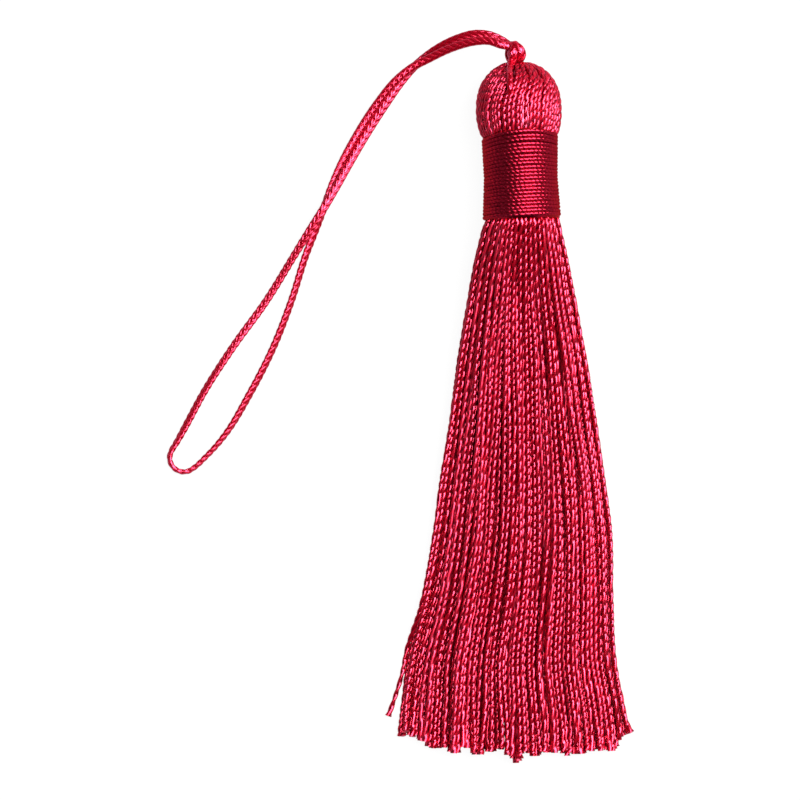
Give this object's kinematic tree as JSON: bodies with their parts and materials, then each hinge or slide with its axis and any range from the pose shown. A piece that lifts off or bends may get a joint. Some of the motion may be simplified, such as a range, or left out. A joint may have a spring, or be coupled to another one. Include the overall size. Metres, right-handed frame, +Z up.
{
  "type": "silk tassel",
  "caption": "Silk thread tassel with a round looped head, a wound neck binding, a loose skirt and a long braided hanging loop.",
  "frame": {"origin": "on the surface the tassel lies on, below the middle of its own box, the hanging loop left aside", "axes": "+Y from the skirt's cut ends towards the head and its knot, +Z up from the surface, +X to the right of someone who looks down with the head away from them"},
  "size_m": [0.0539, 0.0845, 0.0105],
  "materials": {
    "hank_silk": "lustrous two-ply twisted thread",
    "binding_silk": "lustrous thread wound close",
    "cord_silk": "fine flat braid with a soft sheen"
  },
  "bodies": {
    "root": {"thread_hank": "hank_silk", "binding": "binding_silk", "cord_knot": "cord_silk", "head_loop": "cord_silk", "hanging_loop": "cord_silk"}
  },
  "joints": []
}
